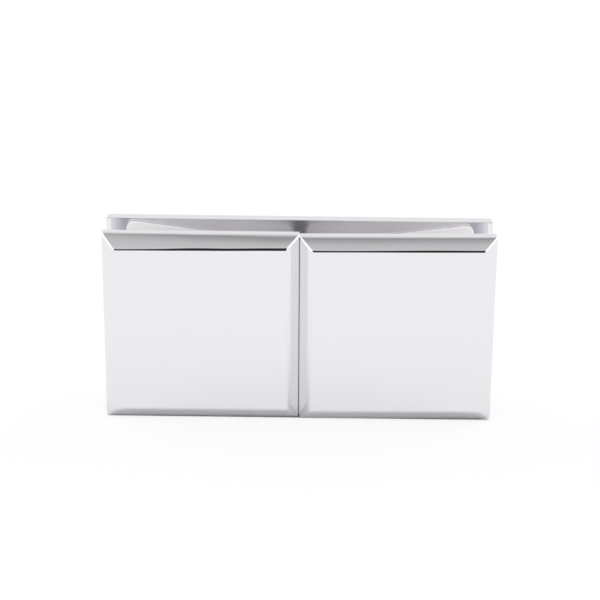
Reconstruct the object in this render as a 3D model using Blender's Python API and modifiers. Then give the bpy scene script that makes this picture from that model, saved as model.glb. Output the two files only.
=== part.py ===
"""Shower glass clamp: joins two glass panes edge to edge in one plane.

A long bevelled plate stands behind the glass and two square bevelled pads in front of it.
Countersunk screws go through the plate into a pair of threaded bosses on each pad. Clear soft
gaskets lie between metal and glass, and clear sleeves cover the bosses in the notch of the glass.

Metres. +Z is up, the pads face -Y, and X runs along the plate. The clamp stands on its lower
edge, with the middle of its base at the origin.
"""

import math

import bmesh
import bpy
from mathutils import Matrix, Vector

# Plate and pads
PLATE_WIDTH = 0.1016
PLATE_HEIGHT = 0.0508
PLATE_WALL = 0.0038
PAD_WALL = 0.0027
SEAM_GAP = 0.0003
BEVEL_WIDTH = 0.0032
BEVEL_DEPTH = 0.0030

# Polished edges: how far the rounding reaches on each side of an edge
RIDGE_ROUND = 0.00050
MITRE_ROUND = 0.00020
RIM_ROUND = 0.00015
EDGE_SEGMENTS = 4

# Glass, and what touches it
GLASS_THICKNESS = 0.0080
GASKET_THICKNESS = 0.0008
GASKET_INSET_END = 0.0040
GASKET_INSET_TOP = 0.00365
GASKET_INSET_SEAM = 0.0018
GASKET_CORNER = 0.0024
# How far a gasket's lower end, at the seam, still stands above its upper hole
GASKET_ABOVE_HOLE = {"back": 0.0026, "front": 0.0001}
# The gaskets of the front pads are stuck on a little askew, clockwise as seen from the front.
FRONT_GASKET_LEAN_DEG = 0.6
FIT_GAP = 0.0002

# Screws, with their bosses and sleeves
SCREW_FROM_SEAM = 0.0130
SCREW_SPACING = 0.0180
THREAD_RADIUS = 0.0030
SCREW_LENGTH = 0.0160
HEAD_RADIUS = 0.0060
HEAD_RIM = 0.0003
HEAD_SUNK = 0.0003
SOCKET_ACROSS_FLATS = 0.0040
SOCKET_DEPTH = 0.0024
TIP_CHAMFER = 0.0006
TIP_ROOM = 0.0015
BOSS_RADIUS = 0.0050
BOSS_LENGTH = 0.0055
BOSS_CHAMFER = 0.0004
SLEEVE_WALL = 0.0010

# Where each pad sits in its screws' play: along X, along Z, and turned anticlockwise as seen
# from the front. The right pad of this clamp hangs a little low and turned.
PAD_PLAY = {
    "left": (0.00010, 0.0, 0.15),
    "right": (0.00017, -0.00009, 0.64),
}

ROUND_STEPS = 48
# A cutter on the axis of a turned piece is turned by half a step, so that their edges don't meet.
HALF_STEP = math.pi / ROUND_STEPS
CORNER_STEPS = 6
CUT_REACH = 0.0020
SINK_IN = 0.0010
MERGE = 0.000001

# What follows from the sizes above
GLASS_GAP = GLASS_THICKNESS + 2 * (GASKET_THICKNESS + FIT_GAP)
PAD_WIDTH = (PLATE_WIDTH - SEAM_GAP) / 2
PAD_CENTRE = (PLATE_WIDTH + SEAM_GAP) / 4
PLATE_INNER = GLASS_GAP / 2
PLATE_OUTER = PLATE_INNER + PLATE_WALL + BEVEL_DEPTH
PAD_INNER = -GLASS_GAP / 2
MIDDLE = PLATE_HEIGHT / 2
HEAD_TOP = PLATE_OUTER - HEAD_SUNK
SCREW_TIP = HEAD_TOP - SCREW_LENGTH
BORE_END = min(SCREW_TIP, PAD_INNER) - TIP_ROOM
SLEEVE_INNER = BOSS_RADIUS + FIT_GAP
SLEEVE_OUTER = SLEEVE_INNER + SLEEVE_WALL

SIDES = {"left": -1, "right": 1}
ROWS = {"upper": 1, "lower": -1}


def clear_scene():
    for item in list(bpy.data.objects):
        bpy.data.objects.remove(item, do_unlink=True)


def new_collection(name):
    collection = bpy.data.collections.new(name)
    bpy.context.scene.collection.children.link(collection)
    return collection


def new_material(name, colour, metallic, roughness, transmission=0.0):
    material = bpy.data.materials.new(name)
    material.use_nodes = True
    shader = material.node_tree.nodes["Principled BSDF"]
    shader.inputs["Base Color"].default_value = (*colour, 1.0)
    shader.inputs["Metallic"].default_value = metallic
    shader.inputs["Roughness"].default_value = roughness
    shader.inputs["Transmission Weight"].default_value = transmission
    return material


def new_object(name, mesh, collection, material=None):
    item = bpy.data.objects.new(name, mesh)
    collection.objects.link(item)
    if material:
        mesh.materials.append(material)
    return item


def new_carrier(name, parent=None):
    """An empty that carries other objects."""
    carrier = bpy.data.objects.new(name, None)
    bpy.context.scene.collection.objects.link(carrier)
    carrier.parent = parent
    return carrier


def carry(item, carrier, location=(0, 0, 0)):
    item.parent = carrier
    item.location = location
    return item


def as_cutter(item):
    item.hide_render = True
    item.display_type = "WIRE"
    return item


def boolean(item, operation, other):
    modifier = item.modifiers.new(f"{operation.lower()} {other.name}", "BOOLEAN")
    modifier.operation = operation
    modifier.solver = "EXACT"
    modifier.object = other


def smooth_rounds(mesh):
    mesh.shade_smooth()
    mesh.set_sharp_from_angle(angle=math.radians(35))


def bevelled_slab(name, width, wall, faces, collection, material):
    """A slab with a flat mitred bevel round its show face.

    faces is -1 where the show face looks along -Y and 1 where it looks along +Y. The flat inner
    face lies at y = 0, and the slab is centred on X and Z.
    """
    shape = bmesh.new()
    bmesh.ops.create_cube(shape, size=1.0)
    bmesh.ops.scale(shape, vec=(width, wall, PLATE_HEIGHT), verts=shape.verts)
    bmesh.ops.translate(shape, vec=(0, faces * wall / 2, 0), verts=shape.verts)
    show_face = max(shape.faces, key=lambda face: faces * face.calc_center_median().y)
    bmesh.ops.inset_region(
        shape, faces=[show_face], thickness=BEVEL_WIDTH, depth=BEVEL_DEPTH, use_even_offset=True
    )
    weigh_edges(shape, wall, faces)
    mesh = bpy.data.meshes.new(name)
    shape.to_mesh(mesh)
    shape.free()
    slab = new_object(name, mesh, collection, material)
    polish = slab.modifiers.new("polished edges", "BEVEL")
    polish.limit_method = "WEIGHT"
    polish.width = RIDGE_ROUND
    polish.segments = EDGE_SEGMENTS
    smooth_rounds(mesh)
    return slab


def weigh_edges(shape, wall, faces):
    """Gives each edge its share of the widest rounding, by where its ends lie."""
    weights = shape.edges.layers.float.new("bevel_weight_edge")
    half_wall = wall / 2
    for edge in shape.edges:
        depths = [faces * vert.co.y for vert in edge.verts]
        if min(depths) > wall + half_wall * 0.1:
            edge[weights] = 1.0
        elif max(depths) > wall + half_wall * 0.1:
            edge[weights] = MITRE_ROUND / RIDGE_ROUND
        else:
            edge[weights] = RIM_ROUND / RIDGE_ROUND


def turned(name, profile, collection, material=None, closed=False):
    """Turns a profile of (radius, height) points about Z. It runs down the outer side."""
    mesh = bpy.data.meshes.new(name)
    points = [(radius, 0, height) for radius, height in profile]
    edges = [(i, i + 1) for i in range(len(points) - 1)]
    if closed:
        edges.append((len(points) - 1, 0))
    mesh.from_pydata(points, edges, [])
    item = new_object(name, mesh, collection, material)
    screw = item.modifiers.new("turn", "SCREW")
    screw.steps = ROUND_STEPS
    screw.render_steps = ROUND_STEPS
    screw.use_merge_vertices = True
    screw.merge_threshold = MERGE
    screw.use_smooth_shade = True
    # The axis of a turned piece looks along +Y, out of the plate's show face.
    item.rotation_euler.x = -math.pi / 2
    return item


def rounded_outline(corners, radius):
    """The corners of a convex outline, anticlockwise, each replaced by an arc."""
    points = []
    for i, corner in enumerate(corners):
        here = Vector(corner)
        back = (Vector(corners[i - 1]) - here).normalized()
        ahead = (Vector(corners[(i + 1) % len(corners)]) - here).normalized()
        half_angle = back.angle(ahead) / 2
        centre = here + (back + ahead).normalized() * radius / math.sin(half_angle)
        start = here + back * radius / math.tan(half_angle) - centre
        sweep = math.pi - 2 * half_angle
        for step in range(CORNER_STEPS + 1):
            turn = Matrix.Rotation(sweep * step / CORNER_STEPS, 2)
            points.append(centre + turn @ start)
    return points


def flat_sheet(name, outline, thickness, collection, material):
    """A sheet cut to an outline in X and Z, centred on y = 0."""
    curve = bpy.data.curves.new(name + " outline", "CURVE")
    curve.dimensions = "2D"
    curve.fill_mode = "BOTH"
    curve.extrude = thickness / 2
    spline = curve.splines.new("POLY")
    spline.points.add(len(outline) - 1)
    for point, (x, z) in zip(spline.points, outline):
        point.co = (x, z, 0, 1)
    spline.use_cyclic_u = True
    drawn = bpy.data.objects.new(name + " outline", curve)
    collection.objects.link(drawn)
    drawn.rotation_euler.x = math.pi / 2
    bpy.context.view_layer.update()
    graph = bpy.context.evaluated_depsgraph_get()
    mesh = bpy.data.meshes.new_from_object(drawn.evaluated_get(graph))
    mesh.name = name
    mesh.transform(drawn.matrix_world)
    bpy.data.objects.remove(drawn, do_unlink=True)
    shape = bmesh.new()
    shape.from_mesh(mesh)
    bmesh.ops.remove_doubles(shape, verts=shape.verts, dist=MERGE)
    bmesh.ops.recalc_face_normals(shape, faces=shape.faces)
    shape.to_mesh(mesh)
    shape.free()
    mesh.materials.clear()
    return new_object(name, mesh, collection, material)


def screw_place(side, row):
    """A screw's X and Z from the middle of its pad."""
    return SIDES[side] * (SCREW_FROM_SEAM - PAD_CENTRE), ROWS[row] * SCREW_SPACING / 2


def widest_play():
    """How far the pads' play takes any screw off the middle of its hole in the plate."""
    moved = []
    for side, (shift_x, shift_z, turn_deg) in PAD_PLAY.items():
        turn = Matrix.Rotation(math.radians(turn_deg), 2)
        for row in ROWS:
            place = Vector(screw_place(side, row))
            moved.append((turn @ place - place + Vector((shift_x, shift_z))).length)
    return max(moved)


def screw_hole_cutter(name, collection):
    """A countersunk clearance hole. Its z = 0 is the head's top."""
    room = widest_play() + FIT_GAP
    bore = THREAD_RADIUS + room
    mouth = HEAD_RADIUS + room
    below = PLATE_INNER - HEAD_TOP - CUT_REACH
    profile = [
        (0, HEAD_SUNK + CUT_REACH),
        (mouth, HEAD_SUNK + CUT_REACH),
        (mouth, -HEAD_RIM),
        (bore, -HEAD_RIM - (mouth - bore)),
        (bore, below),
        (0, below),
    ]
    return as_cutter(turned(name, profile, collection))


def back_plate(clamp, cutters, chrome, parent):
    plate = bevelled_slab("back_plate", PLATE_WIDTH, PLATE_WALL, 1, clamp, chrome)
    carry(plate, parent, (0, PLATE_INNER, MIDDLE))
    for side, sign in SIDES.items():
        for row in ROWS:
            hole = screw_hole_cutter(f"hole {row} {side}", cutters)
            offset_x, offset_z = screw_place(side, row)
            place = (sign * PAD_CENTRE + offset_x, HEAD_TOP, MIDDLE + offset_z)
            carry(hole, parent, place)
            boolean(plate, "DIFFERENCE", hole)
    return plate


def front_pad(side, clamp, cutters, chrome, carrier):
    pad = bevelled_slab(f"front_pad_{side}", PAD_WIDTH, PAD_WALL, -1, clamp, chrome)
    carry(pad, carrier, (0, PAD_INNER, 0))
    boss_profile = [
        (0, BOSS_LENGTH),
        (BOSS_RADIUS - BOSS_CHAMFER, BOSS_LENGTH),
        (BOSS_RADIUS, BOSS_LENGTH - BOSS_CHAMFER),
        (BOSS_RADIUS, -SINK_IN),
        (0, -SINK_IN),
    ]
    bore_radius = THREAD_RADIUS + FIT_GAP
    bore_profile = [
        (0, BOSS_LENGTH + CUT_REACH),
        (bore_radius, BOSS_LENGTH + CUT_REACH),
        (bore_radius, BORE_END - PAD_INNER),
        (0, BORE_END - PAD_INNER),
    ]
    for row in ROWS:
        x, z = screw_place(side, row)
        boss = as_cutter(turned(f"boss {row} {side}", boss_profile, cutters))
        carry(boss, carrier, (x, PAD_INNER, z))
        boolean(pad, "UNION", boss)
        bore = as_cutter(turned(f"bore {row} {side}", bore_profile, cutters))
        bore.rotation_euler.y = HALF_STEP
        carry(bore, carrier, (x, PAD_INNER, z))
        boolean(pad, "DIFFERENCE", bore)
    return pad


def gasket_hole_radius():
    """Room for a sleeve, wherever the pads' play takes it."""
    return SLEEVE_OUTER + widest_play() + FIT_GAP


def gasket_outline(side, face):
    """A four-sided outline that gets lower towards the seam, down to just past its holes."""
    outer = PAD_WIDTH / 2 - GASKET_INSET_END
    inner = GASKET_INSET_SEAM - PAD_CENTRE
    tall = MIDDLE - GASKET_INSET_TOP
    short = SCREW_SPACING / 2 + gasket_hole_radius() + GASKET_ABOVE_HOLE[face]
    corners = [(outer, -tall), (outer, tall), (inner, short), (inner, -short)]
    if SIDES[side] < 0:
        corners = [(-x, z) for x, z in reversed(corners)]
    return rounded_outline(corners, GASKET_CORNER)


def gasket_hole_cutter(name, collection):
    radius = gasket_hole_radius()
    reach = GASKET_THICKNESS / 2 + CUT_REACH
    profile = [
        (0, reach),
        (radius, reach),
        (radius, -reach),
        (0, -reach),
    ]
    return as_cutter(turned(name, profile, collection))


def gasket(name, side, face, carrier, centre, clamp, cutters, vinyl):
    """A gasket on the inner face of the plate, which is the back, or of a front pad."""
    back = face == "back"
    sheet = flat_sheet(name, gasket_outline(side, face), GASKET_THICKNESS, clamp, vinyl)
    off_metal = FIT_GAP + GASKET_THICKNESS / 2
    y = PLATE_INNER - off_metal if back else PAD_INNER + off_metal
    sheet.rotation_euler.y = 0 if back else math.radians(FRONT_GASKET_LEAN_DEG)
    carry(sheet, carrier, (centre[0], y, centre[1]))
    for row in ROWS:
        hole = gasket_hole_cutter(f"{name} hole {row}", cutters)
        x, z = screw_place(side, row)
        carry(hole, carrier, (centre[0] + x, y, centre[1] + z))
        boolean(sheet, "DIFFERENCE", hole)
    return sheet


def clamp_screw(side, row, clamp, cutters, steel, carrier):
    head_cone = HEAD_RADIUS - THREAD_RADIUS
    profile = [
        (0, 0),
        (HEAD_RADIUS, 0),
        (HEAD_RADIUS, -HEAD_RIM),
        (THREAD_RADIUS, -HEAD_RIM - head_cone),
        (THREAD_RADIUS, TIP_CHAMFER - SCREW_LENGTH),
        (THREAD_RADIUS - TIP_CHAMFER, -SCREW_LENGTH),
        (0, -SCREW_LENGTH),
    ]
    screw = turned(f"clamp_screw_{row}_{side}", profile, clamp, steel)
    x, z = screw_place(side, row)
    carry(screw, carrier, (x, HEAD_TOP, z))
    socket = hexagon_cutter(f"socket {row} {side}", cutters)
    carry(socket, carrier, (x, HEAD_TOP, z))
    boolean(screw, "DIFFERENCE", socket)
    return screw


def hexagon_cutter(name, cutters):
    shape = bmesh.new()
    radius = SOCKET_ACROSS_FLATS / math.sqrt(3)
    depth = SOCKET_DEPTH + CUT_REACH
    bmesh.ops.create_cone(
        shape, cap_ends=True, segments=6, radius1=radius, radius2=radius, depth=depth
    )
    bmesh.ops.translate(shape, vec=(0, 0, CUT_REACH - depth / 2), verts=shape.verts)
    mesh = bpy.data.meshes.new(name)
    shape.to_mesh(mesh)
    shape.free()
    item = new_object(name, mesh, cutters)
    item.rotation_euler = (-math.pi / 2, HALF_STEP, 0)
    return as_cutter(item)


def screw_sleeve(side, row, clamp, vinyl, carrier):
    half = GLASS_GAP / 2 - FIT_GAP
    profile = [
        (SLEEVE_INNER, half),
        (SLEEVE_OUTER, half),
        (SLEEVE_OUTER, -half),
        (SLEEVE_INNER, -half),
    ]
    sleeve = turned(f"screw_sleeve_{row}_{side}", profile, clamp, vinyl, closed=True)
    x, z = screw_place(side, row)
    return carry(sleeve, carrier, (x, 0, z))


def stand_on_origin(clamp, root):
    """Moves the whole clamp so that the middle of its base is the origin."""
    bpy.context.view_layer.update()
    graph = bpy.context.evaluated_depsgraph_get()
    corners = []
    for item in clamp.objects:
        evaluated = item.evaluated_get(graph)
        corners += [evaluated.matrix_world @ Vector(corner) for corner in evaluated.bound_box]
    low = Vector([min(corner[axis] for corner in corners) for axis in range(3)])
    high = Vector([max(corner[axis] for corner in corners) for axis in range(3)])
    root.location = (-(low.x + high.x) / 2, -(low.y + high.y) / 2, -low.z)


def main():
    clear_scene()
    clamp = new_collection("shower_glass_clamp")
    cutters = new_collection("cutters")
    chrome = new_material("polished chrome", (0.86, 0.86, 0.88), 1.0, 0.04)
    steel = new_material("screw steel", (0.62, 0.62, 0.63), 1.0, 0.25)
    vinyl = new_material("clear vinyl", (0.88, 0.87, 0.86), 0.0, 0.30, transmission=0.6)

    root = new_carrier("clamp root")
    back_plate(clamp, cutters, chrome, root)
    for side, sign in SIDES.items():
        centre = (sign * PAD_CENTRE, MIDDLE)
        name = f"back_gasket_{side}"
        gasket(name, side, "back", root, centre, clamp, cutters, vinyl)

        shift_x, shift_z, turn_deg = PAD_PLAY[side]
        carrier = new_carrier(f"{side} pad carrier", root)
        carrier.location = (centre[0] + shift_x, 0, centre[1] + shift_z)
        carrier.rotation_euler.y = -math.radians(turn_deg)
        front_pad(side, clamp, cutters, chrome, carrier)
        name = f"front_gasket_{side}"
        gasket(name, side, "front", carrier, (0, 0), clamp, cutters, vinyl)
        for row in ROWS:
            clamp_screw(side, row, clamp, cutters, steel, carrier)
            screw_sleeve(side, row, clamp, vinyl, carrier)
    stand_on_origin(clamp, root)


main()
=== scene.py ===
"""Shower glass clamp, dressed: mirror chrome plate and pads, clear vinyl and stainless screws.

Metres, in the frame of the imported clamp: +Z up, the pads face -Y and X runs along the plate.
"""

import math

import bpy
from mathutils import Matrix, Vector


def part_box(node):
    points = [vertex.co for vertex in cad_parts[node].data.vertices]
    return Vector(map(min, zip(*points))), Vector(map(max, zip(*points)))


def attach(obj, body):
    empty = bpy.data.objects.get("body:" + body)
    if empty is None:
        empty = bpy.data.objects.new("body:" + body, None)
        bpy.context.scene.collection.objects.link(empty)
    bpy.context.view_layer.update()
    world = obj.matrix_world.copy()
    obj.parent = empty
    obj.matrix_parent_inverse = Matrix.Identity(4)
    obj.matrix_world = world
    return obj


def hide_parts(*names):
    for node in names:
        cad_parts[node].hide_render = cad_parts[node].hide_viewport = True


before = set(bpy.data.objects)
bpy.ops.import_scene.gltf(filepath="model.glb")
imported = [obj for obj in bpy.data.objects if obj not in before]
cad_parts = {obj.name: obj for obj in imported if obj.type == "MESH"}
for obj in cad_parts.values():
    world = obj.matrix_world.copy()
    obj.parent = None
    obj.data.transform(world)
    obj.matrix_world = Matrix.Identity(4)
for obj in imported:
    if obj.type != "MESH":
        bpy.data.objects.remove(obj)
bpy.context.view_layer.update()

# Bevelled plate and pads
PLATE_WALL = 0.0038
PAD_WALL = 0.0027
PAD_WIDTH = 0.05065
PAD_CENTRE = 0.025475
BEVEL_WIDTH = 0.0032
BEVEL_DEPTH = 0.0030
BEVEL_CROWN = 0.000070
BEVEL_RINGS = 5
RIDGE_ROUND = 0.00050
MITRE_ROUND = 0.00042
LEVEL_RIM_ROUND = 0.00030
UPRIGHT_RIM_ROUND = 0.00050
INNER_RIM_ROUND = 0.00004
CORNER_ROUND = 0.00040
ROUND_SEGMENTS = 5
STATION_STEP = 0.0018
# A face belongs to a bevel where its normal's part along Y lies between these
SLOPED_FACE = (0.2, 0.95)
PAD_TURN_DEG = {"left": 0.15, "right": 0.64}
# In the source the pads stand apart and the gap opens downwards; here it is closed and even
SEAM_CLOSING = 0.00007
SEAM_LEAN_DEG = (PAD_TURN_DEG["right"] - PAD_TURN_DEG["left"]) / 2

# Buffing by hand leaves the upper ridge of each slab uneven. From end to end, left to right, it
# climbs and gets rounder, and at some spots, each as (x from the middle, reach, more), rounder still.
# The rim follows it by a share
BUFFING = {
    "plate": {
        "climb": (-0.00010, 0.00010),
        "rim_follows": 0.9,
        "round": (0.00045, 0.00045),
        "spots": (),
    },
    "left": {
        "climb": (-0.00036, 0.00030),
        "rim_follows": 0.5,
        "round": (0.00018, 0.00046),
        "spots": ((-0.0015, 0.0055, 0.00040), (0.0165, 0.0055, 0.00022)),
    },
    "right": {
        "climb": (0.00015, 0.00024),
        "rim_follows": 0.9,
        "round": (0.00028, 0.00028),
        "spots": ((-0.0235, 0.0050, 0.00014), (0.0090, 0.0110, 0.00022)),
    },
}
# At such a spot the ridge also climbs, by this share of what it gets rounder
SPOT_CLIMB = 0.25

# Screw holes, bosses and their threads
SCREW_FROM_SEAM = 0.0130
SCREW_SPACING = 0.0180
HOLE_BORE = 0.003555
HOLE_MOUTH = 0.006555
HOLE_CHAMFER = 0.00020
BOSS_RADIUS = 0.0050
BOSS_CHAMFER = 0.0004
BOSS_ROOT = 0.00015
BOSS_SINK = 0.0010
BORE_DEPTH = 0.0015
THREAD_PITCH = 0.0010
THREAD_CREST = 0.00299
THREAD_ROOT = 0.00239
TAP_CLEARANCE = 0.00006

# Countersunk screws
HEAD_RADIUS = 0.0060
HEAD_RIM = 0.0003
HEAD_EDGE = 0.00008
NECK_LENGTH = 0.0008
TIP_CHAMFER = 0.0006
SOCKET_ACROSS_FLATS = 0.0040
SOCKET_DEPTH = 0.0024
SOCKET_MOUTH = 0.00025
DRILL_RADIUS = 0.00196
DRILL_TIP = 0.0001
DRILL_START = 0.00015

# Gaskets and sleeves
GASKET_INSET_END = 0.0040
GASKET_INSET_TOP = 0.00365
GASKET_INSET_SEAM = 0.0018
GASKET_CORNER = 0.0024
GASKET_HOLE = 0.006755
GASKET_ABOVE_HOLE = {"back": 0.0026, "front": 0.0001}
GASKET_EDGE = 0.00015
FRONT_GASKET_LEAN_DEG = 0.6
SLEEVE_INNER = 0.0052
SLEEVE_OUTER = 0.0062
SLEEVE_EDGE = 0.00012

# How finely things are turned
TURN_SIDES = 96
THREAD_STEPS = 64
CUT_REACH = 0.0020
MERGE = 0.000001

# Camera, fitted to the edges of the clamp in the photograph
CAMERA_PLACE = (-0.001700, -0.410286, 0.181554)
CAMERA_DOWN_DEG = 20.214
CAMERA_RIGHT_DEG = 0.252
CAMERA_ROLL_DEG = 0.817
CAMERA_FOV_DEG = 20.568

# The room above the table, as (degrees above the horizon, brightness) in each of its zones
CEILING = (
    (50, 0.62), (55, 0.74), (60, 0.66), (66, 0.60), (69, 0.52), (72, 0.41), (74, 0.36), (77, 0.42),
    (82, 0.60), (90, 0.78)
)
DARK_FRONT = ((-90, 1.0), (-9, 1.0), (-7, 0.03), (33, 0.03), (42, 0.50), *CEILING)
FRONT_SIDES = ((-90, 1.0), (-4, 1.0), (0, 1.25), (45, 1.25), *CEILING)
REAR_SIDES = ((-90, 1.0), (-4, 1.0), (0, 2.60), (50, 2.60), (56, 0.80), (90, 0.78))
BEHIND = ((-90, 1.0), (30, 0.90), (38, 0.60), (60, 0.66), (76, 0.80), (90, 0.78))
# Each zone after the dark one, with the bearings from the front at which it begins and is full
ZONES = ((FRONT_SIDES, 18, 26), (REAR_SIDES, 80, 92), (BEHIND, 142, 154))
LAMP_PLACE = (0.0, -0.55, 0.75)
LAMP_SIZE = 0.50
LAMP_WATTS = 0.4
TABLE_FRONT = 0.340
TABLE_REACH = 3.0
SHADE_SEEN = 0.12
SHADE_IN_METAL = 0.35
FOOTPRINT = (0.0505, 0.0076)
FOOTPRINT_FADE = 0.0006
FOOTPRINT_FADE_IN_METAL = (0.0035, 0.0090)

SIDES = {"left": -1, "right": 1}
ROWS = {"upper": 1, "lower": -1}


def deselect_all():
    bpy.ops.object.select_all(action="DESELECT")


def pick(piece):
    """Makes the piece the only one selected, and the active one."""
    deselect_all()
    piece.select_set(True)
    bpy.context.view_layer.objects.active = piece


def just_added(name):
    piece = bpy.context.active_object
    piece.name = name
    piece.data.name = name
    return piece


def edit(piece):
    pick(piece)
    bpy.ops.object.mode_set(mode="EDIT")


def leave_edit():
    bpy.ops.object.mode_set(mode="OBJECT")


def select_faces(piece, wanted):
    """Goes into edit mode with those faces selected for which wanted(face) is true."""
    edit(piece)
    bpy.ops.mesh.select_mode(type="FACE")
    bpy.ops.mesh.select_all(action="DESELECT")
    leave_edit()
    for face in piece.data.polygons:
        face.select = wanted(face)
    bpy.ops.object.mode_set(mode="EDIT")


def select_edges(piece, wanted):
    """Goes into edit mode with those edges selected for which wanted(start, end) is true."""
    edit(piece)
    bpy.ops.mesh.select_mode(type="EDGE")
    bpy.ops.mesh.select_all(action="DESELECT")
    leave_edit()
    places = [vert.co for vert in piece.data.vertices]
    for edge in piece.data.edges:
        start, end = edge.vertices
        edge.select = wanted(places[start], places[end])
    bpy.ops.object.mode_set(mode="EDIT")


def apply_modifier(piece, kind, **settings):
    pick(piece)
    modifier = piece.modifiers.new(kind.lower(), kind)
    for setting, value in settings.items():
        setattr(modifier, setting, value)
    bpy.ops.object.modifier_apply(modifier=modifier.name)


def combine(piece, operation, tool):
    """Joins, cuts or crops the piece with a tool, which is used up."""
    apply_modifier(piece, "BOOLEAN", operation=operation, object=tool, solver="EXACT")
    bpy.data.objects.remove(tool, do_unlink=True)


def place(piece, location, turn_deg=0.0):
    """Puts a piece in its place, turned clockwise as seen from the front, in its mesh."""
    piece.location = location
    piece.rotation_euler = (0, math.radians(turn_deg), 0)
    pick(piece)
    bpy.ops.object.transform_apply(location=True, rotation=True, scale=True)


def copied(piece, name):
    twin = piece.copy()
    twin.data = piece.data.copy()
    twin.name = name
    twin.data.name = name
    bpy.context.scene.collection.objects.link(twin)
    return twin


def turned(name, profile, ring=False):
    """A piece turned about Y, drawn out from one (radius, y) of its profile to the next."""
    deselect_all()
    radius, y = profile[0]
    bpy.ops.mesh.primitive_circle_add(
        vertices=TURN_SIDES,
        radius=radius,
        fill_type="NOTHING" if ring else "NGON",
        location=(0, y, 0),
        rotation=(math.pi / 2, 0, 0),
    )
    piece = just_added(name)
    bpy.ops.object.transform_apply(location=True, rotation=True, scale=True)
    edit(piece)
    bpy.ops.mesh.select_all(action="SELECT")
    for next_radius, next_y in profile[1:] + (profile[:1] if ring else ()):
        bpy.ops.mesh.extrude_region_move(TRANSFORM_OT_translate={"value": (0, next_y - y, 0)})
        scale = next_radius / radius
        bpy.ops.transform.resize(value=(scale, 1, scale), center_override=(0, next_y, 0))
        radius, y = next_radius, next_y
    bpy.ops.mesh.select_all(action="SELECT")
    bpy.ops.mesh.remove_doubles(threshold=MERGE)
    bpy.ops.mesh.normals_make_consistent(inside=False)
    leave_edit()
    return piece


def drawn_line(name, points):
    """A line drawn from point to point by pulling a single vertex along."""
    deselect_all()
    bpy.ops.mesh.primitive_plane_add(size=MERGE, location=points[0])
    line = just_added(name)
    bpy.ops.object.transform_apply(location=True, rotation=True, scale=True)
    edit(line)
    bpy.ops.mesh.select_all(action="SELECT")
    bpy.ops.mesh.merge(type="CENTER")
    for here, there in zip(points, points[1:]):
        step = Vector(there) - Vector(here)
        bpy.ops.mesh.extrude_region_move(TRANSFORM_OT_translate={"value": step})
    leave_edit()
    return line


def threaded_rod(name, crest, root, low, high):
    """A rod about Y with a right-hand thread that always passes y = 0 at the same angle."""
    flat = THREAD_PITCH / 8
    flank = THREAD_PITCH * 5 / 16
    heights = (0, flat, flat + flank, 2 * flat + flank, 2 * (flat + flank), THREAD_PITCH)
    radii = (root, root, crest, crest, root, root)
    start = math.floor(low / THREAD_PITCH - 1) * THREAD_PITCH
    turns = math.ceil((high - start) / THREAD_PITCH) + 1
    profile = [(radius, 0, start + height) for radius, height in zip(radii, heights)]
    rod = drawn_line(name, profile)
    apply_modifier(
        rod,
        "SCREW",
        axis="Z",
        angle=math.tau,
        screw_offset=THREAD_PITCH,
        iterations=turns,
        steps=THREAD_STEPS,
        render_steps=THREAD_STEPS,
        use_merge_vertices=True,
        merge_threshold=MERGE,
    )
    edit(rod)
    for height, end in ((low, -1), (high, 1)):
        bpy.ops.mesh.select_all(action="SELECT")
        bpy.ops.mesh.bisect(
            plane_co=(0, 0, height), plane_no=(0, 0, end), use_fill=True, clear_outer=True
        )
    bpy.ops.mesh.select_all(action="SELECT")
    bpy.ops.mesh.normals_make_consistent(inside=False)
    leave_edit()
    rod.rotation_euler.x = -math.pi / 2
    pick(rod)
    bpy.ops.object.transform_apply(location=True, rotation=True, scale=True)
    return rod


def smooth(piece, angle_deg=30):
    """Shades the rounded stretches smooth and keeps the flats between them flat."""
    pick(piece)
    bpy.ops.object.shade_smooth_by_angle(angle=math.radians(angle_deg))
    apply_modifier(piece, "WEIGHTED_NORMAL", mode="FACE_AREA", weight=100, keep_sharp=True)


def crowned_bevel():
    """The steps of a bevel, each as (inwards, outwards), that lie on a slightly crowned line."""
    length = math.hypot(BEVEL_WIDTH, BEVEL_DEPTH)
    points = []
    for ring in range(BEVEL_RINGS + 1):
        share = ring / BEVEL_RINGS
        crown = 4 * BEVEL_CROWN * share * (1 - share)
        points.append(
            Vector((
                BEVEL_WIDTH * share - crown * BEVEL_DEPTH / length,
                BEVEL_DEPTH * share + crown * BEVEL_WIDTH / length,
            ))
        )
    return [there - here for here, there in zip(points, points[1:])]


def slab_blank(name, width, height, wall, faces, buffing, seam_side=0, lean_deg=0.0):
    """A slab with mitred bevels round its show face, which looks along Y times faces.

    Its flat inner face lies at y = 0. The foot of its seam side may lean outwards.
    """
    deselect_all()
    bpy.ops.mesh.primitive_cube_add(
        size=1.0, location=(0, faces * wall / 2, 0), scale=(width, wall, height)
    )
    slab = just_added(name)
    bpy.ops.object.transform_apply(location=True, rotation=True, scale=True)
    if seam_side:
        # With no window, a turn by a value above 0 takes the foot of a face towards +X
        select_faces(slab, lambda face: seam_side * face.normal.x > 0.5)
        bpy.ops.transform.rotate(
            value=seam_side * math.radians(lean_deg),
            orient_axis="Y",
            center_override=(seam_side * width / 2, 0, height / 2),
        )
        leave_edit()
    select_faces(slab, lambda face: faces * face.normal.y > 0.5)
    for inwards, outwards in crowned_bevel():
        bpy.ops.mesh.inset(thickness=inwards, depth=outwards, use_even_offset=True)
    leave_edit()
    cut_stations(slab, width - 2 * BEVEL_WIDTH)
    climb_upper_ridge(slab, width, wall, faces, buffing)
    round_slab_edges(slab, width, wall, faces, buffing)
    return slab


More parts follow.
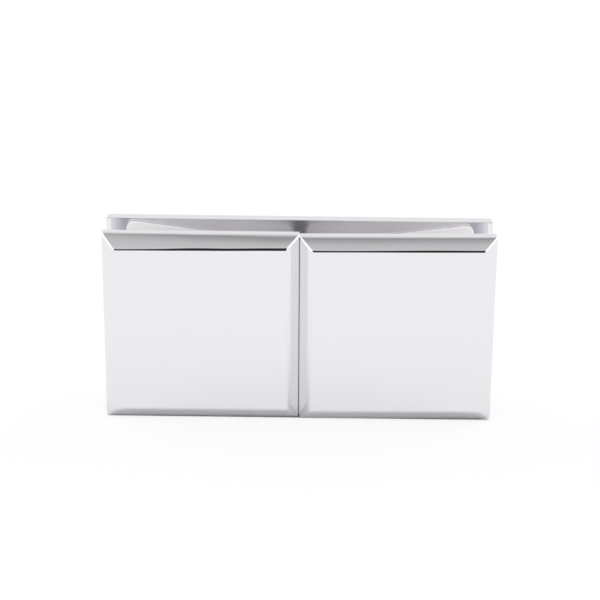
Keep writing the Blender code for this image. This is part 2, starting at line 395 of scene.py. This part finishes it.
def cut_stations(slab, straight):
    """Cuts the slab across at even steps, so that its long ridges can bend."""
    steps = round(straight / STATION_STEP)
    edit(slab)
    for i in range(1, steps):
        bpy.ops.mesh.select_all(action="SELECT")
        x = straight * (i / steps - 0.5)
        bpy.ops.mesh.bisect(plane_co=(x, 0, 0), plane_no=(1, 0, 0))
    leave_edit()


def along(x, width, ends):
    """A value that runs evenly from one end of the slab to the other."""
    return ends[0] + (ends[1] - ends[0]) * (x / width + 0.5)


def extra_round(x, spots):
    return sum(more * math.exp(-(((x - middle) / reach) ** 2)) for middle, reach, more in spots)


def climb_upper_ridge(slab, width, wall, faces, buffing):
    """Moves the upper ridge up and down along the slab.

    The bevel above it follows, by its slope and by its rim, which moves in or out.
    """
    for sign in (1, -1):
        for direction, strength in (("Z", sign), ("Y", sign * faces * buffing["rim_follows"])):
            group = slab.vertex_groups.new(name="climb")
            for vert in slab.data.vertices:
                share = (faces * vert.co.y - wall) / BEVEL_DEPTH
                climb = along(vert.co.x, width, buffing["climb"])
                climb += SPOT_CLIMB * extra_round(vert.co.x, buffing["spots"])
                part = share if direction == "Z" else 1 - share
                if vert.co.z > 0 and share > -MERGE and part > MERGE and sign * climb > 0:
                    group.add([vert.index], min(part, 1.0) * abs(climb) / BEVEL_WIDTH, "REPLACE")
            apply_modifier(
                slab,
                "DISPLACE",
                direction=direction,
                vertex_group="climb",
                strength=strength * BEVEL_WIDTH,
                mid_level=0.0,
            )
            slab.vertex_groups.clear()


def round_slab_edges(slab, width, wall, faces, buffing):
    """Rounds the ridge round the show face, the mitres and the rims, each by its own width."""
    weights = slab.data.attributes.new("bevel_weight_edge", "FLOAT", "EDGE")
    widest = max(buffing["round"]) + max((more for _, _, more in buffing["spots"]), default=0.0)
    widest = max(widest, RIDGE_ROUND)
    ridge = wall + BEVEL_DEPTH - MERGE
    rim = wall + BEVEL_DEPTH / BEVEL_RINGS / 2
    places = [vert.co for vert in slab.data.vertices]
    for edge, weight in zip(slab.data.edges, weights.data):
        start, end = (places[i] for i in edge.vertices)
        depths = (faces * start.y, faces * end.y)
        across, up = abs(start.x - end.x), abs(start.z - end.z)
        middle = (start + end) / 2
        if across < MERGE and abs(middle.x) < width / 2 - BEVEL_WIDTH - MERGE:
            continue
        if min(depths) > ridge and across > up and middle.z > 0:
            rounding = along(middle.x, width, buffing["round"])
            rounding += extra_round(middle.x, buffing["spots"])
        elif min(depths) > ridge:
            rounding = RIDGE_ROUND
        elif min(across, up) > max(across, up) / 2 and max(depths) > rim:
            rounding = MITRE_ROUND
        elif max(depths) < rim and min(depths) > wall / 2:
            rounding = LEVEL_RIM_ROUND if across > up else UPRIGHT_RIM_ROUND
        elif max(depths) < rim and max(across, up) < MERGE:
            rounding = CORNER_ROUND
        elif max(depths) < rim and across > up:
            rounding = INNER_RIM_ROUND
        else:
            continue
        weight.value = min(rounding / widest, 1.0)
    apply_modifier(slab, "BEVEL", limit_method="WEIGHT", width=widest, segments=ROUND_SEGMENTS)


def plate_hole(x, z, inner, outer, head_top):
    """The tool for a countersunk hole through the plate, with its edges broken."""
    flare = HOLE_MOUTH - HOLE_BORE
    profile = (
        (HOLE_BORE + HOLE_CHAMFER + CUT_REACH, inner - CUT_REACH),
        (HOLE_BORE, inner + HOLE_CHAMFER),
        (HOLE_BORE, head_top - HEAD_RIM - flare),
        (HOLE_MOUTH, head_top - HEAD_RIM),
        (HOLE_MOUTH, outer - HOLE_CHAMFER),
        (HOLE_MOUTH + HOLE_CHAMFER + CUT_REACH, outer + CUT_REACH),
    )
    tool = turned("plate hole", profile)
    place(tool, (x, 0, z))
    return tool


def polished_back_plate():
    low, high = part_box("back_plate")
    centre = (low + high) / 2
    size = high - low
    plate = slab_blank("polished_back_plate", size.x, size.z, PLATE_WALL, 1, BUFFING["plate"])
    place(plate, (centre.x, low.y, centre.z))
    head_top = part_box("clamp_screw_upper_left")[1].y
    for side in SIDES.values():
        for row in ROWS.values():
            x = centre.x + side * SCREW_FROM_SEAM
            z = centre.z + row * SCREW_SPACING / 2
            combine(plate, "DIFFERENCE", plate_hole(x, z, low.y, high.y, head_top))
    smooth(plate)
    return plate


def polished_pad(side):
    low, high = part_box(f"front_pad_{side}")
    centre = (low + high) / 2
    plate_low, plate_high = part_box("back_plate")
    inner = low.y + BEVEL_DEPTH + PAD_WALL
    height = plate_high.z - plate_low.z
    name = f"polished_pad_{side}"
    width = PAD_WIDTH + SEAM_CLOSING
    pad = slab_blank(
        name, width, height, PAD_WALL, -1, BUFFING[side], -SIDES[side], SEAM_LEAN_DEG
    )
    middle = centre.x - SIDES[side] * SEAM_CLOSING / 2
    place(pad, (middle, inner, centre.z), -PAD_TURN_DEG[side])
    for row in ROWS:
        screw_low, screw_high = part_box(f"clamp_screw_{row}_{side}")
        axis = (screw_low + screw_high) / 2
        boss = turned(
            "boss",
            (
                (BOSS_RADIUS + BOSS_ROOT, inner - BOSS_SINK),
                (BOSS_RADIUS + BOSS_ROOT, inner),
                (BOSS_RADIUS, inner + BOSS_ROOT),
                (BOSS_RADIUS, high.y - BOSS_CHAMFER),
                (BOSS_RADIUS - BOSS_CHAMFER, high.y),
            ),
        )
        place(boss, (axis.x, 0, axis.z))
        combine(pad, "UNION", boss)
        tap = threaded_rod(
            "tap",
            THREAD_CREST + TAP_CLEARANCE,
            THREAD_ROOT + TAP_CLEARANCE,
            inner - BORE_DEPTH,
            high.y + CUT_REACH,
        )
        place(tap, (axis.x, 0, axis.z))
        combine(pad, "DIFFERENCE", tap)
    smooth(pad)
    return pad


def socket_tool(top):
    """The tool for a hexagon socket, with a drilled bottom, that opens at y = top."""
    deselect_all()
    radius = SOCKET_ACROSS_FLATS / math.sqrt(3)
    bpy.ops.mesh.primitive_cylinder_add(
        vertices=6,
        radius=radius,
        depth=SOCKET_DEPTH + CUT_REACH,
        location=(0, top + (CUT_REACH - SOCKET_DEPTH) / 2, 0),
        rotation=(math.pi / 2, 0, 0),
    )
    tool = just_added("socket")
    bpy.ops.object.transform_apply(location=True, rotation=True, scale=True)
    bottom = top - SOCKET_DEPTH
    cone = SOCKET_ACROSS_FLATS / 2 * math.tan(math.radians(30))
    point = turned(
        "drill point",
        ((DRILL_RADIUS, bottom + DRILL_START), (DRILL_RADIUS, bottom), (DRILL_TIP, bottom - cone)),
    )
    combine(tool, "UNION", point)
    return tool


def mouth_tool(top):
    """The tool for the broken edge round a socket's mouth."""
    corner = SOCKET_ACROSS_FLATS / math.sqrt(3)
    return turned(
        "socket mouth",
        (
            (corner - SOCKET_MOUTH, top - 2 * SOCKET_MOUTH * math.tan(math.radians(30))),
            (corner + SOCKET_MOUTH, top),
            (corner + SOCKET_MOUTH, top + CUT_REACH),
        ),
    )


def countersunk_screw():
    """One screw about Y, at the height that all four have."""
    low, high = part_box("clamp_screw_upper_left")
    cone = HEAD_RADIUS - THREAD_CREST
    under_head = high.y - HEAD_RIM - cone
    neck = under_head - NECK_LENGTH
    screw = turned(
        "screw",
        (
            (THREAD_ROOT, neck - THREAD_PITCH),
            (THREAD_ROOT, neck),
            (THREAD_ROOT, under_head),
            (THREAD_CREST, under_head),
            (HEAD_RADIUS, high.y - HEAD_RIM),
            (HEAD_RADIUS, high.y - HEAD_EDGE),
            (HEAD_RADIUS - HEAD_EDGE, high.y),
        ),
    )
    thread = threaded_rod("thread", THREAD_CREST, THREAD_ROOT, low.y - CUT_REACH, high.y)
    room = turned(
        "room of the thread",
        (
            (THREAD_CREST - TIP_CHAMFER, low.y),
            (THREAD_CREST + MERGE, low.y + TIP_CHAMFER),
            (THREAD_CREST + MERGE, neck - TIP_CHAMFER),
            (THREAD_ROOT - MERGE, neck),
        ),
    )
    combine(thread, "INTERSECT", room)
    combine(screw, "UNION", thread)
    combine(screw, "DIFFERENCE", socket_tool(high.y))
    combine(screw, "DIFFERENCE", mouth_tool(high.y))
    smooth(screw)
    return screw


def vinyl_sleeve():
    """One sleeve about Y, at the height that all four have."""
    low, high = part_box("screw_sleeve_upper_left")
    edge = SLEEVE_EDGE
    sleeve = turned(
        "sleeve",
        (
            (SLEEVE_INNER, high.y - edge),
            (SLEEVE_INNER + edge, high.y),
            (SLEEVE_OUTER - edge, high.y),
            (SLEEVE_OUTER, high.y - edge),
            (SLEEVE_OUTER, low.y + edge),
            (SLEEVE_OUTER - edge, low.y),
            (SLEEVE_INNER + edge, low.y),
            (SLEEVE_INNER, low.y + edge),
        ),
        ring=True,
    )
    smooth(sleeve, 50)
    return sleeve


def vinyl_gasket(face, side):
    """A sheet with round corners and holes for the sleeves that gets lower towards the seam."""
    low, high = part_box(f"{face}_gasket_{side}")
    plate_low, plate_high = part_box("back_plate")
    centre = (plate_low + plate_high) / 2
    outwards = SIDES[side]
    tall = (plate_high.z - plate_low.z) / 2 - GASKET_INSET_TOP
    short = SCREW_SPACING / 2 + GASKET_HOLE + GASKET_ABOVE_HOLE[face]
    outer = PAD_WIDTH / 2 - GASKET_INSET_END
    inner = GASKET_INSET_SEAM - PAD_CENTRE
    deselect_all()
    bpy.ops.mesh.primitive_cube_add(
        size=1.0,
        location=(outwards * (outer + inner) / 2, 0, 0),
        scale=(outer - inner, high.y - low.y, 2 * tall),
    )
    gasket = just_added(f"vinyl_gasket_{face}_{side}")
    bpy.ops.object.transform_apply(location=True, rotation=True, scale=True)
    select_faces(gasket, lambda part: outwards * part.normal.x < -0.5)
    bpy.ops.transform.resize(value=(1, 1, short / tall), center_override=(0, 0, 0))
    leave_edit()
    select_edges(gasket, lambda start, end: abs(start.y - end.y) > MERGE)
    bpy.ops.mesh.bevel(offset=GASKET_CORNER, segments=8, affect="EDGES")
    leave_edit()
    if face == "front":
        pad_low, pad_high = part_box(f"front_pad_{side}")
        middle = (pad_low + pad_high) / 2
        turn_deg = FRONT_GASKET_LEAN_DEG - PAD_TURN_DEG[side]
    else:
        middle = centre + Vector((outwards * PAD_CENTRE, 0, 0))
        turn_deg = 0.0
    place(gasket, (middle.x, (low.y + high.y) / 2, middle.z), turn_deg)
    for row, up in ROWS.items():
        if face == "front":
            sleeve_low, sleeve_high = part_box(f"screw_sleeve_{row}_{side}")
            axis = (sleeve_low + sleeve_high) / 2
        else:
            axis = centre + Vector((outwards * SCREW_FROM_SEAM, 0, up * SCREW_SPACING / 2))
        hole = turned(
            "gasket hole", ((GASKET_HOLE, low.y - CUT_REACH), (GASKET_HOLE, high.y + CUT_REACH))
        )
        place(hole, (axis.x, 0, axis.z))
        combine(gasket, "DIFFERENCE", hole)
    apply_modifier(gasket, "BEVEL", limit_method="ANGLE", width=GASKET_EDGE, segments=3)
    smooth(gasket, 40)
    return gasket


def add_node(tree, kind, sockets=None, **settings):
    """Adds a shader node. A socket takes a value or another node's output."""
    made = tree.nodes.new("ShaderNode" + kind)
    for setting, value in settings.items():
        setattr(made, setting, value)
    for name, value in (sockets or {}).items():
        if isinstance(value, bpy.types.NodeSocket):
            tree.links.new(value, made.inputs[name])
        else:
            made.inputs[name].default_value = value
    return made


def new_material(name):
    """An empty material with its object coordinates."""
    material = bpy.data.materials.new(name)
    material.use_nodes = True
    tree = material.node_tree
    tree.nodes.clear()
    where = add_node(tree, "TexCoord").outputs["Object"]
    return material, tree, where


def noise(tree, where, scale, detail=2.0, stretch=(1, 1, 1)):
    """A noise with features about 1 / scale metres across."""
    mapping = add_node(tree, "Mapping", {"Vector": where, "Scale": stretch})
    made = add_node(
        tree, "TexNoise", {"Vector": mapping.outputs["Vector"], "Scale": scale, "Detail": detail}
    )
    return made.outputs["Fac"]


def between(tree, value, low, high):
    made = add_node(tree, "MapRange", {"Value": value, "To Min": low, "To Max": high})
    return made.outputs["Result"]


def bumped(tree, height, distance, under=None):
    sockets = {"Height": height, "Strength": 1.0, "Distance": distance}
    if under:
        sockets["Normal"] = under
    return add_node(tree, "Bump", sockets).outputs["Normal"]


def finish_material(tree, shader):
    add_node(tree, "OutputMaterial", {"Surface": shader.outputs[0]})


def polished_chrome(name, wave, roughness):
    """Mirror chrome. wave is how far the polishing leaves it off flat."""
    material, tree, where = new_material(name)
    swell = noise(tree, where, 90, detail=1.0)
    hairlines = noise(tree, where, 900, detail=3.0, stretch=(1, 1, 14))
    normal = bumped(tree, swell, wave)
    normal = bumped(tree, hairlines, 0.0000004, normal)
    cloud = noise(tree, where, 160, detail=4.0)
    shader = add_node(
        tree,
        "BsdfPrincipled",
        {
            "Base Color": (0.825, 0.82, 0.845, 1),
            "Metallic": 1.0,
            "Roughness": between(tree, cloud, *roughness),
            "Normal": normal,
        },
    )
    finish_material(tree, shader)
    return material


def satin_steel():
    """Stainless steel with a fine satin grain and faint clouds."""
    material, tree, where = new_material("satin_steel")
    grain = noise(tree, where, 5000, detail=2.0)
    stain = noise(tree, where, 400, detail=3.0)
    tint = add_node(
        tree,
        "MixRGB",
        {"Fac": stain, "Color1": (0.56, 0.56, 0.57, 1), "Color2": (0.66, 0.655, 0.65, 1)},
    )
    shader = add_node(
        tree,
        "BsdfPrincipled",
        {
            "Base Color": tint.outputs["Color"],
            "Metallic": 1.0,
            "Roughness": between(tree, stain, 0.22, 0.34),
            "Normal": bumped(tree, grain, 0.000004),
        },
    )
    finish_material(tree, shader)
    return material


def clear_vinyl():
    """Soft vinyl, so milky that it lets no light through, with a fine matt skin."""
    material, tree, where = new_material("clear_vinyl")
    skin = noise(tree, where, 2500, detail=3.0)
    cloud = noise(tree, where, 220, detail=2.0)
    tint = add_node(
        tree,
        "MixRGB",
        {"Fac": cloud, "Color1": (0.96, 0.945, 0.935, 1), "Color2": (0.975, 0.965, 0.955, 1)},
    )
    shader = add_node(
        tree,
        "BsdfPrincipled",
        {
            "Base Color": tint.outputs["Color"],
            "Roughness": between(tree, skin, 0.28, 0.42),
            "IOR": 1.46,
            "Normal": bumped(tree, skin, 0.000008),
        },
    )
    finish_material(tree, shader)
    return material


def white_table():
    """A pale table that is seen as white, but for a share of its own shade.

    Under the clamp it is seen as it is.
    """
    material, tree, where = new_material("white_table")
    mottle = noise(tree, where, 6)
    tint = add_node(
        tree,
        "MixRGB",
        {"Fac": mottle, "Color1": (0.885, 0.88, 0.89, 1), "Color2": (0.895, 0.89, 0.90, 1)},
    )
    cloth = add_node(tree, "BsdfDiffuse", {"Color": tint.outputs["Color"]})
    white = add_node(tree, "Emission", {"Color": (1, 1, 1, 1), "Strength": 1.0})
    path = add_node(tree, "LightPath")
    past = past_footprint(tree, where)
    share = 0.0
    for ray, shade, fade in (
        ("Is Camera Ray", SHADE_SEEN, (0.0, FOOTPRINT_FADE)),
        ("Is Glossy Ray", SHADE_IN_METAL, FOOTPRINT_FADE_IN_METAL),
    ):
        clear = {"Value": past, "From Min": fade[0], "From Max": fade[1], "To Max": 1.0 - shade}
        whitened = add_node(tree, "MapRange", clear).outputs[0]
        terms = {0: path.outputs[ray], 1: whitened, 2: share}
        share = add_node(tree, "Math", terms, operation="MULTIPLY_ADD").outputs[0]
    table = add_node(tree, "MixShader", {0: share, 1: cloth.outputs[0], 2: white.outputs[0]})
    below = add_node(tree, "NewGeometry").outputs["Backfacing"]
    clear = add_node(tree, "BsdfTransparent")
    shader = add_node(tree, "MixShader", {0: below, 1: table.outputs[0], 2: clear.outputs[0]})
    finish_material(tree, shader)
    return material


def past_footprint(tree, where):
    """How far a point of the table lies outside the clamp's footprint, along X or Y."""
    size = add_node(tree, "VectorMath", {0: where}, operation="ABSOLUTE")
    past = add_node(
        tree, "VectorMath", {0: size.outputs[0], 1: (*FOOTPRINT, 0)}, operation="SUBTRACT"
    )
    parts = add_node(tree, "SeparateXYZ", {"Vector": past.outputs[0]})
    sockets = {0: parts.outputs["X"], 1: parts.outputs["Y"]}
    return add_node(tree, "Math", sockets, operation="MAXIMUM").outputs[0]


def brightness_ramp(tree, height, stops):
    """Brightness by the height of a direction, from stops of (degrees, brightness)."""
    share = add_node(tree, "MapRange", {"Value": height, "From Min": -1.0, "From Max": 1.0})
    ramp = add_node(tree, "ValToRGB", {"Fac": share.outputs[0]})
    colours = ramp.color_ramp.elements
    while len(colours) > 1:
        colours.remove(colours[0])
    for i, (degrees, value) in enumerate(stops):
        position = (math.sin(math.radians(degrees)) + 1) / 2
        element = colours[0] if i == 0 else colours.new(position)
        element.position = position
        element.color = (value, value, value, 1)
    return ramp.outputs["Color"]


def facing_share(tree, frontness, zero_deg, full_deg):
    """0 in directions up to one bearing from the front, and 1 from the other bearing on."""
    sockets = {
        "Value": frontness,
        "From Min": math.cos(math.radians(zero_deg)),
        "From Max": math.cos(math.radians(full_deg)),
    }
    return add_node(tree, "MapRange", sockets, interpolation_type="SMOOTHSTEP").outputs[0]


def light_the_studio():
    """A white surround for the camera and for clear things, and a room for all the rest."""
    world = bpy.data.worlds.new("studio")
    bpy.context.scene.world = world
    world.use_nodes = True
    tree = world.node_tree
    tree.nodes.clear()
    towards = add_node(tree, "TexCoord").outputs["Generated"]
    parts = add_node(tree, "SeparateXYZ", {"Vector": towards})
    level = add_node(tree, "VectorMath", {0: towards, 1: (-1, -1, 0)}, operation="MULTIPLY")
    bearing = add_node(tree, "VectorMath", {0: level.outputs[0]}, operation="NORMALIZE")
    frontness = add_node(tree, "SeparateXYZ", {"Vector": bearing.outputs[0]}).outputs["Y"]
    height = parts.outputs["Z"]
    room = brightness_ramp(tree, height, DARK_FRONT)
    for stops, begins_deg, full_deg in ZONES:
        share = facing_share(tree, frontness, begins_deg, full_deg)
        zone = brightness_ramp(tree, height, stops)
        room = add_node(tree, "MixRGB", {"Fac": share, "Color1": room, "Color2": zone}).outputs[0]
    lit = add_node(tree, "Background", {"Color": room, "Strength": 1.0})
    white = add_node(tree, "Background", {"Color": (1, 1, 1, 1), "Strength": 1.0})
    path = add_node(tree, "LightPath")
    clear = add_node(
        tree,
        "Math",
        {0: path.outputs["Is Camera Ray"], 1: path.outputs["Is Transmission Ray"]},
        operation="MAXIMUM",
    )
    shader = add_node(
        tree, "MixShader", {0: clear.outputs[0], 1: lit.outputs[0], 2: white.outputs[0]}
    )
    add_node(tree, "OutputWorld", {"Surface": shader.outputs[0]})


def hang_the_lamp():
    """A large soft lamp over the camera. It shows in no reflection."""
    deselect_all()
    spot = Vector(LAMP_PLACE)
    bpy.ops.object.light_add(type="AREA", location=spot)
    lamp = just_added("soft_lamp")
    lamp.data.size = LAMP_SIZE
    lamp.data.energy = LAMP_WATTS
    lamp.rotation_euler = spot.to_track_quat("Z", "Y").to_euler()
    lamp.visible_glossy = False


def lay_the_table():
    deselect_all()
    depth = TABLE_FRONT + TABLE_REACH
    bpy.ops.mesh.primitive_plane_add(size=1.0, location=(0, depth / 2 - TABLE_FRONT, 0))
    table = just_added("white_table")
    bpy.ops.transform.resize(value=(2 * TABLE_REACH, depth, 1))
    bpy.ops.object.transform_apply(location=True, rotation=True, scale=True)
    table.data.materials.append(white_table())


def place_the_camera():
    deselect_all()
    bpy.ops.object.camera_add(location=CAMERA_PLACE)
    camera = bpy.context.active_object
    camera.name = "camera"
    turn = (
        Matrix.Rotation(-math.radians(CAMERA_RIGHT_DEG), 3, "Z")
        @ Matrix.Rotation(math.radians(90 - CAMERA_DOWN_DEG), 3, "X")
        @ Matrix.Rotation(math.radians(CAMERA_ROLL_DEG), 3, "Z")
    )
    camera.rotation_euler = turn.to_euler()
    camera.data.angle = math.radians(CAMERA_FOV_DEG)
    camera.data.clip_start = 0.01
    bpy.context.scene.camera = camera


def chrome_plate_and_pads():
    """The plate and the pads. What the pads hide is duller, as the buffing wheel leaves it out."""
    flat = polished_chrome("polished_chrome", 0.0000010, (0.02, 0.06))
    buffed = polished_chrome("buffed_chrome", 0.0000100, (0.02, 0.06))
    unbuffed = polished_chrome("unbuffed_chrome", 0.0000010, (0.15, 0.19))
    pieces = {"back_plate": polished_back_plate()}
    for side in SIDES:
        pieces[f"front_pad_{side}"] = polished_pad(side)
    for cad_node, piece in pieces.items():
        for material in (flat, buffed, unbuffed):
            piece.data.materials.append(material)
        low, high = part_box(cad_node)
        hidden_from = high.y if cad_node == "back_plate" else low.y + BEVEL_DEPTH + PAD_WALL - MERGE
        for face in piece.data.polygons:
            sloped = SLOPED_FACE[0] < abs(face.normal.y) < SLOPED_FACE[1]
            hidden = face.center.y > hidden_from
            face.material_index = 2 if hidden else int(sloped)
        hand_over(piece, cad_node)


def hand_over(piece, cad_node):
    """The piece stands for its node, from which it takes its motion."""
    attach(piece, "root")
    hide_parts(cad_node)


def vinyl_and_screws():
    vinyl = clear_vinyl()
    steel = satin_steel()
    for side in SIDES:
        for face in ("back", "front"):
            gasket = vinyl_gasket(face, side)
            gasket.data.materials.append(vinyl)
            hand_over(gasket, f"{face}_gasket_{side}")
    screw = countersunk_screw()
    sleeve = vinyl_sleeve()
    for name, first, finish, slot in (
        ("clamp_screw", screw, steel, "screw_steel"),
        ("screw_sleeve", sleeve, vinyl, "clear_vinyl"),
    ):
        first.data.materials.append(finish)
        for side in SIDES:
            for row in ROWS:
                cad_node = f"{name}_{row}_{side}"
                low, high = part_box(cad_node)
                piece = copied(first, f"dressed_{cad_node}")
                place(piece, ((low.x + high.x) / 2, 0, (low.z + high.z) / 2))
                hand_over(piece, cad_node)
        bpy.data.objects.remove(first, do_unlink=True)


place_the_camera()
light_the_studio()
hang_the_lamp()
lay_the_table()
chrome_plate_and_pads()
vinyl_and_screws()

scene = bpy.context.scene
scene.view_settings.view_transform = "Standard"
scene.cycles.max_bounces = 24
scene.cycles.glossy_bounces = 16
